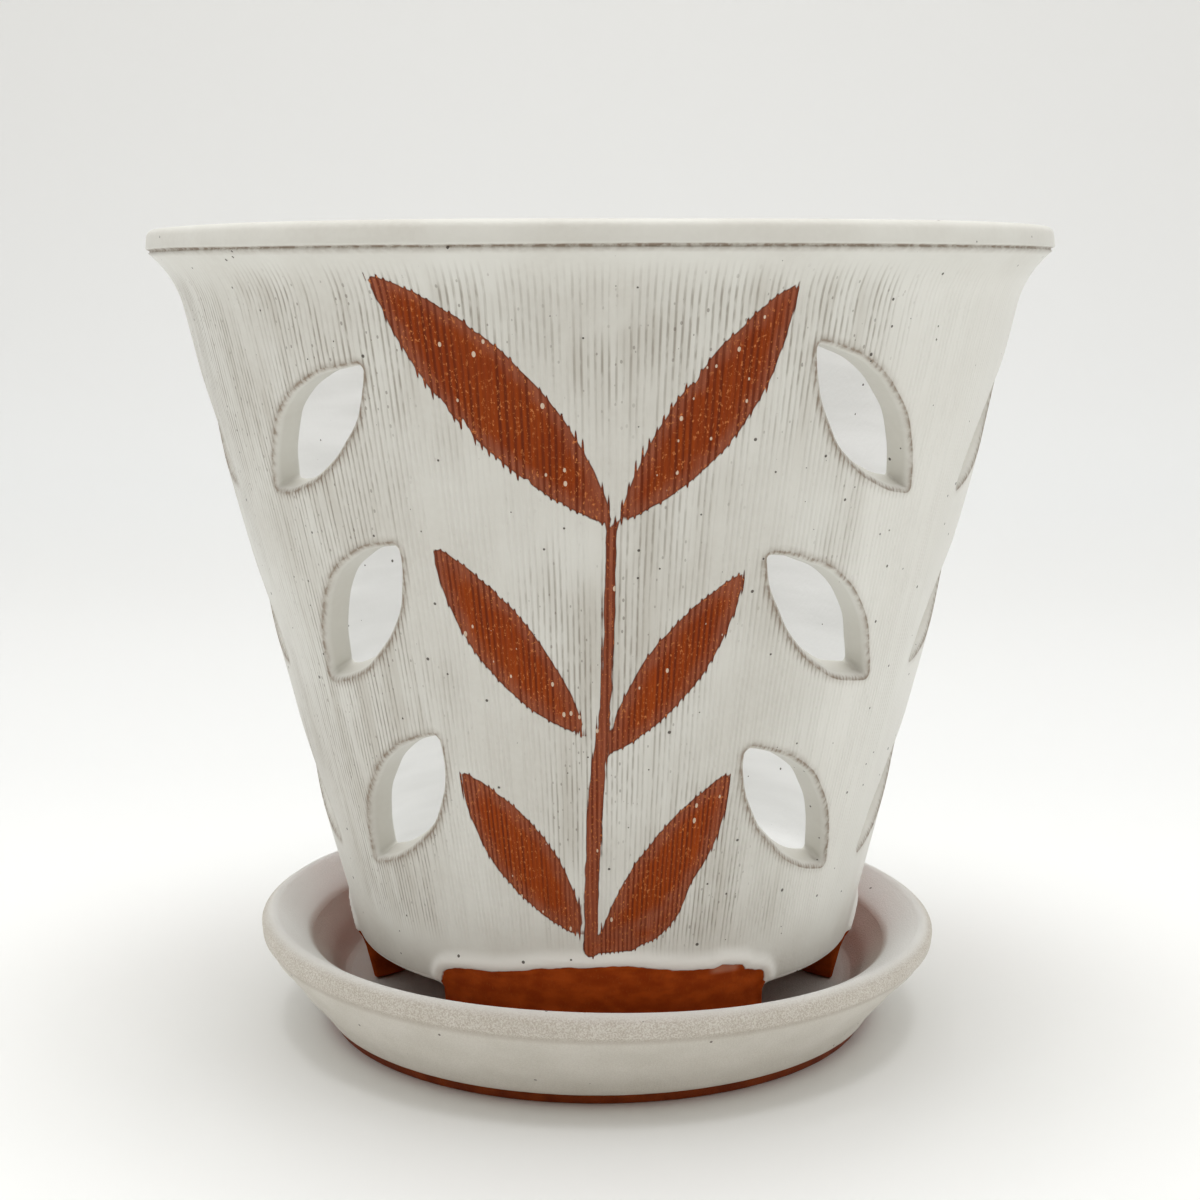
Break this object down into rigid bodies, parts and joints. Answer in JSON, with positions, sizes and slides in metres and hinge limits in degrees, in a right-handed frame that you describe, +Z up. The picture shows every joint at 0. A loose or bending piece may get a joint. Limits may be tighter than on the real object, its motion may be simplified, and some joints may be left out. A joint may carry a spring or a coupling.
{
  "type": "orchid pot with slots",
  "caption": "Tapered ceramic orchid pot with leaf-shaped slots through the wall, a flared banded rim and a notched foot, standing in a loose round saucer that catches drained water.",
  "frame": {"origin": "on the table, under the middle of the saucer", "axes": "+Z up; -Y is the front, where the leafy sprig is; +X to the right seen from the front"},
  "size_m": [0.16, 0.16, 0.1445],
  "materials": {
    "pot_glaze": "satin off-white glaze over red clay",
    "saucer_glaze": "matte grey-white glaze over red clay"
  },
  "bodies": {
    "saucer": {"saucer": "saucer_glaze"},
    "pot": {"pot": "pot_glaze"}
  },
  "joints": [
    {"name": "pot_lift", "type": "slide", "parent": "saucer", "child": "pot", "axis": [0, 0, 1], "range_m": [0, 0.06]}
  ]
}
